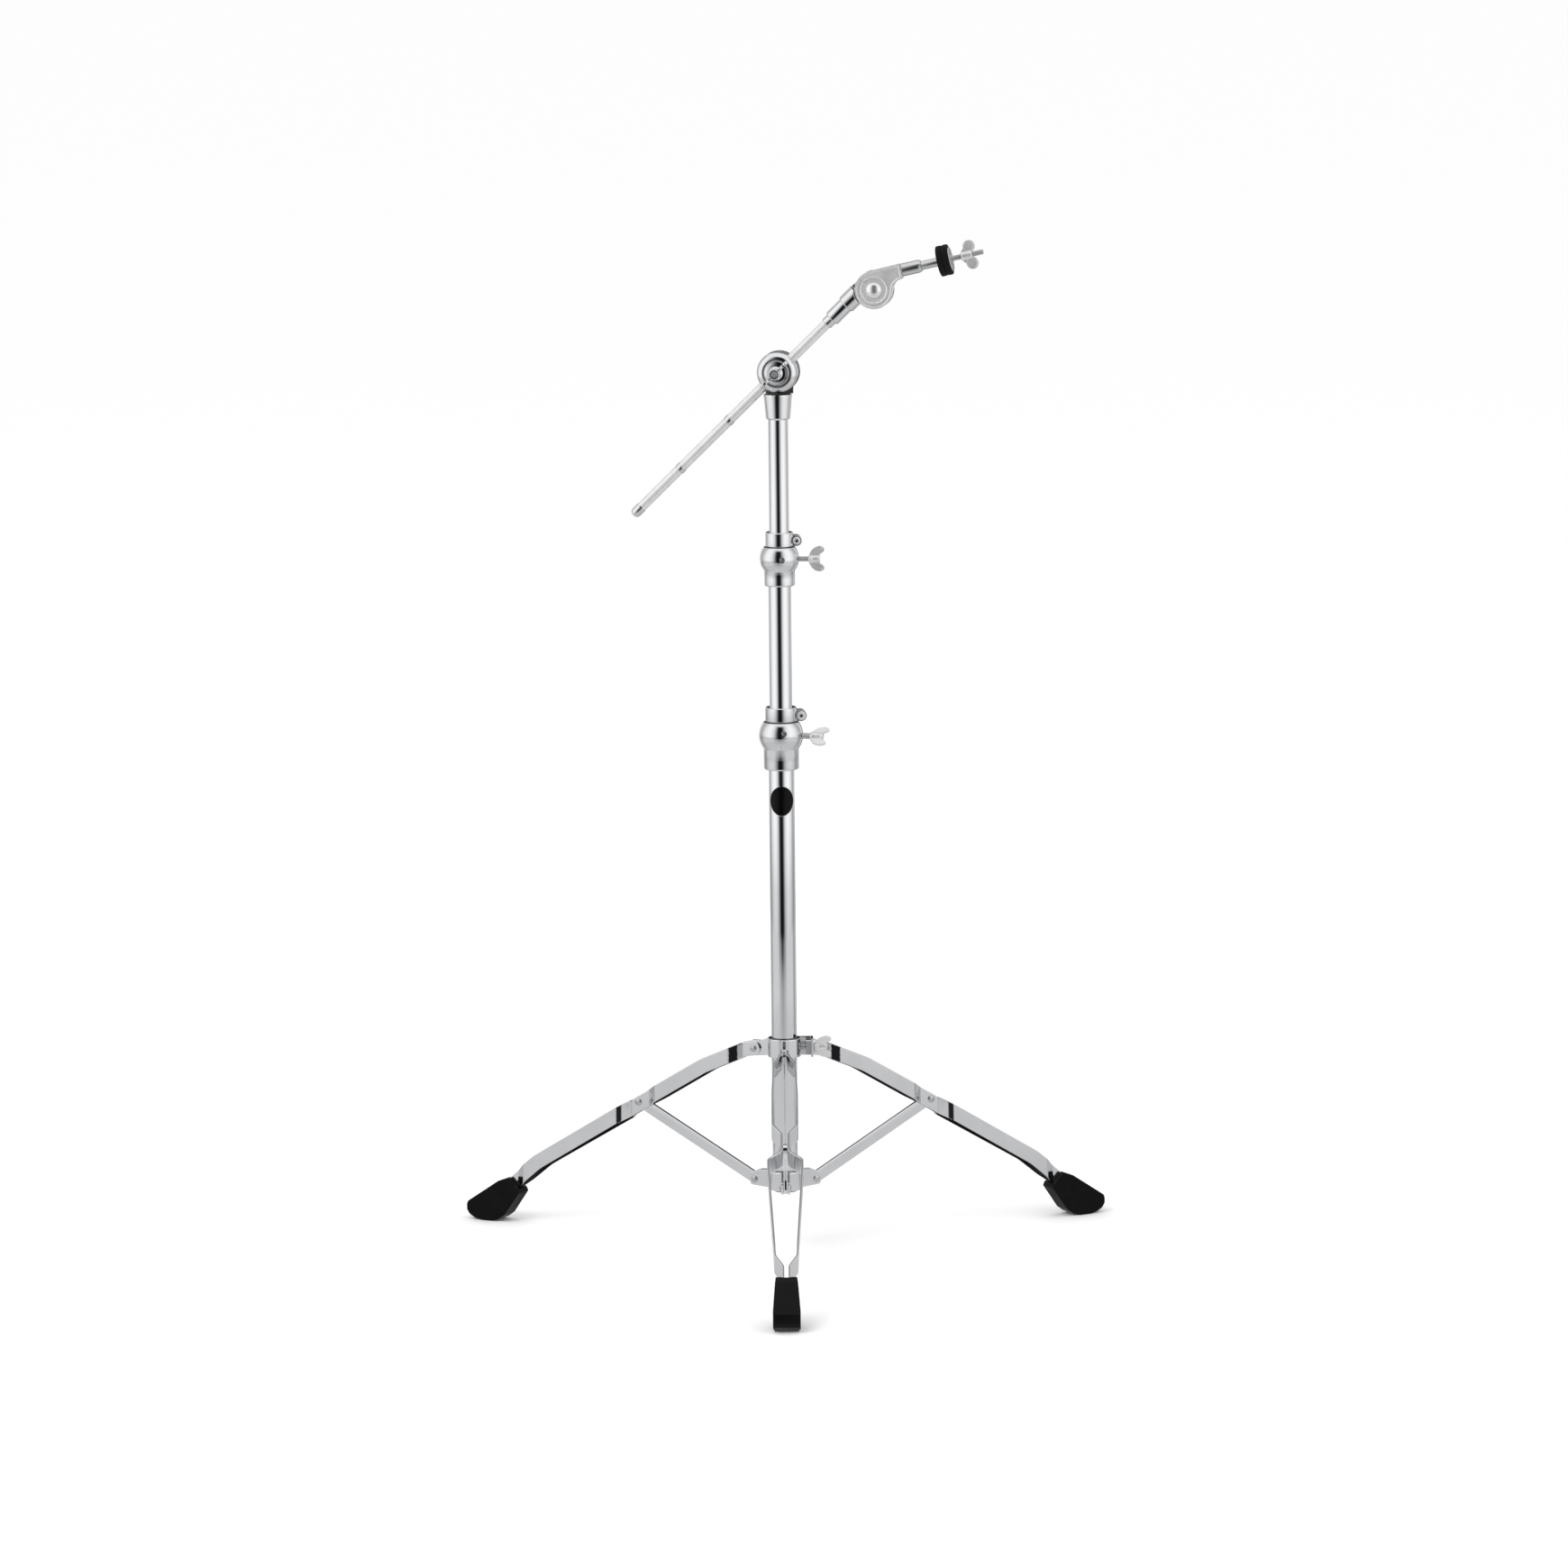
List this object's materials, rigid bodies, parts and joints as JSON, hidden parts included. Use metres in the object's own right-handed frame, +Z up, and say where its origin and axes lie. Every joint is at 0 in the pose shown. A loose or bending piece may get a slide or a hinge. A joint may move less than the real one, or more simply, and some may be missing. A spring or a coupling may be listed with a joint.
{
  "type": "cymbal boom stand",
  "caption": "Tripod stand with telescoping chrome tubes, height clamps with wing screws, a tilting knurled boom and an angled cymbal post with felts and wing nut.",
  "frame": {"origin": "on the floor, at the middle of the stand's outline seen from above", "axes": "+Z up along the tubes, -Y along the front leg, +X towards the cymbal post"},
  "size_m": [0.7458, 0.6458, 1.1604],
  "materials": {
    "chrome_tube": "polished chrome plate on tubes",
    "chrome_cast": "polished chrome plate on castings",
    "chrome_strip": "chrome plate on pressed steel strip",
    "knurled": "satin chrome over fine diamond knurling",
    "cast_satin": "grained satin plated casting",
    "screw_steel": "bright zinc plate",
    "rubber": "moulded black rubber",
    "felt": "pressed black felt",
    "nylon": "black nylon",
    "badge": "black domed badge",
    "fibre": "black friction fibre"
  },
  "bodies": {
    "base": {"base_tube": "chrome_tube", "tube_end_cap": "nylon", "brace_bracket": "chrome_strip", "brace_rivets": "chrome_strip", "lower_clamp_body": "chrome_cast", "lower_clamp_bush": "nylon", "lower_set_screw": "screw_steel", "badge": "badge"},
    "lower_screw": {"lower_wing_screw": "chrome_cast"},
    "front_brace_link": {"front_brace": "chrome_strip"},
    "left_brace_link": {"left_brace": "chrome_strip"},
    "right_brace_link": {"right_brace": "chrome_strip"},
    "leg_slider": {"leg_bracket": "chrome_strip", "leg_bracket_bush": "nylon", "leg_lock_nut": "screw_steel", "leg_pivot_rivets": "chrome_strip"},
    "leg_screw": {"leg_wing_screw": "chrome_cast"},
    "lower_lock": {"lower_memory_ring": "chrome_cast", "lower_memory_screw": "screw_steel"},
    "middle_section": {"middle_tube": "chrome_tube", "upper_clamp_body": "chrome_cast", "upper_clamp_bush": "nylon", "upper_set_screw": "screw_steel"},
    "upper_screw": {"upper_wing_screw": "chrome_cast"},
    "upper_lock": {"upper_memory_ring": "chrome_cast", "upper_memory_screw": "screw_steel"},
    "upper_section": {"upper_tube": "chrome_tube", "boom_socket": "chrome_cast", "socket_pin": "chrome_strip", "friction_ring": "fibre"},
    "boom_holder": {"boom_rotor": "chrome_cast", "boom_cap": "chrome_cast", "boom_eyebolt": "screw_steel", "boom_washer": "chrome_cast"},
    "boom_nut": {"boom_wing_nut": "chrome_cast"},
    "boom": {"boom_rod": "knurled", "boom_ferrule": "chrome_cast"},
    "tilter_base": {"tilter_yoke": "cast_satin", "tilter_bolt": "chrome_cast"},
    "tilter_arm": {"tilter_head": "cast_satin", "post_base": "chrome_cast", "post_sleeve": "chrome_cast", "post_rod": "screw_steel", "lower_felt": "felt"},
    "tilter_nut": {"tilter_wing_nut": "chrome_cast"},
    "felt_stack": {"upper_felt": "felt", "felt_washer": "screw_steel"},
    "cymbal_nut": {"cymbal_wing_nut": "chrome_cast"},
    "front_leg": {"front_leg_strip_a": "chrome_strip", "front_leg_strip_b": "chrome_strip", "front_leg_rivet": "chrome_strip", "front_foot": "rubber"},
    "right_leg": {"right_leg_strip_a": "chrome_strip", "right_leg_strip_b": "chrome_strip", "right_leg_rivet": "chrome_strip", "right_foot": "rubber"},
    "left_leg": {"left_leg_strip_a": "chrome_strip", "left_leg_strip_b": "chrome_strip", "left_leg_rivet": "chrome_strip", "left_foot": "rubber"}
  },
  "joints": [
    {"name": "front_brace_fold", "type": "hinge", "parent": "base", "child": "front_brace_link", "pos_m": [0, 0.0615, 0.082], "axis": [-1, 0, 0], "range_deg": [0, 58]},
    {"name": "front_leg_fold", "type": "hinge", "parent": "front_brace_link", "child": "front_leg", "pos_m": [0, -0.0925, 0.158], "axis": [1, 0, 0], "range_deg": [0, 116]},
    {"name": "left_brace_fold", "type": "hinge", "parent": "base", "child": "left_brace_link", "pos_m": [-0.03291, 0.1185, 0.082], "axis": [0.5, 0.866, 0], "range_deg": [0, 58]},
    {"name": "left_leg_fold", "type": "hinge", "parent": "left_brace_link", "child": "left_leg", "pos_m": [-0.16628, 0.1955, 0.158], "axis": [-0.5, -0.866, 0], "range_deg": [0, 116]},
    {"name": "right_brace_fold", "type": "hinge", "parent": "base", "child": "right_brace_link", "pos_m": [0.03291, 0.1185, 0.082], "axis": [0.5, -0.866, 0], "range_deg": [0, 58]},
    {"name": "right_leg_fold", "type": "hinge", "parent": "right_brace_link", "child": "right_leg", "pos_m": [0.16628, 0.1955, 0.158], "axis": [-0.5, 0.866, 0], "range_deg": [0, 116]},
    {"name": "slider_level", "type": "hinge", "parent": "front_leg", "child": "leg_slider", "pos_m": [0, 0.0615, 0.234], "axis": [-1, 0, 0], "range_deg": [0, 58]},
    {"name": "leg_screw_turn", "type": "hinge", "parent": "leg_slider", "child": "leg_screw", "pos_m": [0, 0.0995, 0.2384], "axis": [1, 0, 0], "continuous": true},
    {"name": "lower_screw_turn", "type": "hinge", "parent": "base", "child": "lower_screw", "pos_m": [0, 0.0995, 0.5975], "axis": [0.9659, -0.2588, 0], "continuous": true},
    {"name": "lower_height", "type": "slide", "parent": "base", "child": "lower_lock", "axis": [0, 0, 1], "range_m": [0, 0.22]},
    {"name": "middle_swivel", "type": "hinge", "parent": "lower_lock", "child": "middle_section", "pos_m": [0, 0.0995, 0.62], "axis": [0, 0, 1], "continuous": true},
    {"name": "upper_screw_turn", "type": "hinge", "parent": "middle_section", "child": "upper_screw", "pos_m": [0, 0.0995, 0.7985], "axis": [1, 0, 0], "continuous": true},
    {"name": "upper_height", "type": "slide", "parent": "middle_section", "child": "upper_lock", "axis": [0, 0, 1], "range_m": [0, 0.18]},
    {"name": "boom_swivel", "type": "hinge", "parent": "upper_lock", "child": "upper_section", "pos_m": [0, 0.0995, 0.82], "axis": [0, 0, 1], "continuous": true},
    {"name": "boom_tilt", "type": "hinge", "parent": "upper_section", "child": "boom_holder", "pos_m": [0, 0.0995, 1.0102], "axis": [0.1564, 0.9877, 0], "range_deg": [0, 90]},
    {"name": "boom_nut_turn", "type": "hinge", "parent": "boom_holder", "child": "boom_nut", "pos_m": [0, 0.0995, 1.0102], "axis": [-0.1564, -0.9877, 0], "continuous": true},
    {"name": "boom_extend", "type": "slide", "parent": "boom_holder", "child": "boom", "axis": [0.7057, -0.1118, 0.6997], "range_m": [-0.05, 0.19]},
    {"name": "tilter_twist", "type": "hinge", "parent": "boom", "child": "tilter_base", "pos_m": [0.07727, 0.08726, 1.08681], "axis": [0.7057, -0.1118, 0.6997], "continuous": true},
    {"name": "tilter_tilt", "type": "hinge", "parent": "tilter_base", "child": "tilter_arm", "pos_m": [0.1093, 0.08219, 1.10401], "axis": [0.1564, 0.9877, 0], "range_deg": [-70, 75]},
    {"name": "tilter_nut_turn", "type": "hinge", "parent": "tilter_base", "child": "tilter_nut", "pos_m": [0.1093, 0.08219, 1.10401], "axis": [0.1564, 0.9877, 0], "continuous": true},
    {"name": "felt_lift", "type": "slide", "parent": "tilter_arm", "child": "felt_stack", "axis": [0.9624, -0.1524, 0.225], "range_m": [0, 0.05]},
    {"name": "cymbal_nut_turn", "type": "hinge", "parent": "felt_stack", "child": "cymbal_nut", "pos_m": [0.1061, 0.08269, 1.11804], "axis": [0.9624, -0.1524, 0.225], "continuous": true}
  ],
  "couplings": [
    {"joint": "front_leg_fold", "follows": "front_brace_fold", "ratio": 2},
    {"joint": "left_brace_fold", "follows": "front_brace_fold", "ratio": 1},
    {"joint": "left_leg_fold", "follows": "front_brace_fold", "ratio": 2},
    {"joint": "right_brace_fold", "follows": "front_brace_fold", "ratio": 1},
    {"joint": "right_leg_fold", "follows": "front_brace_fold", "ratio": 2},
    {"joint": "slider_level", "follows": "front_brace_fold", "ratio": 1}
  ]
}
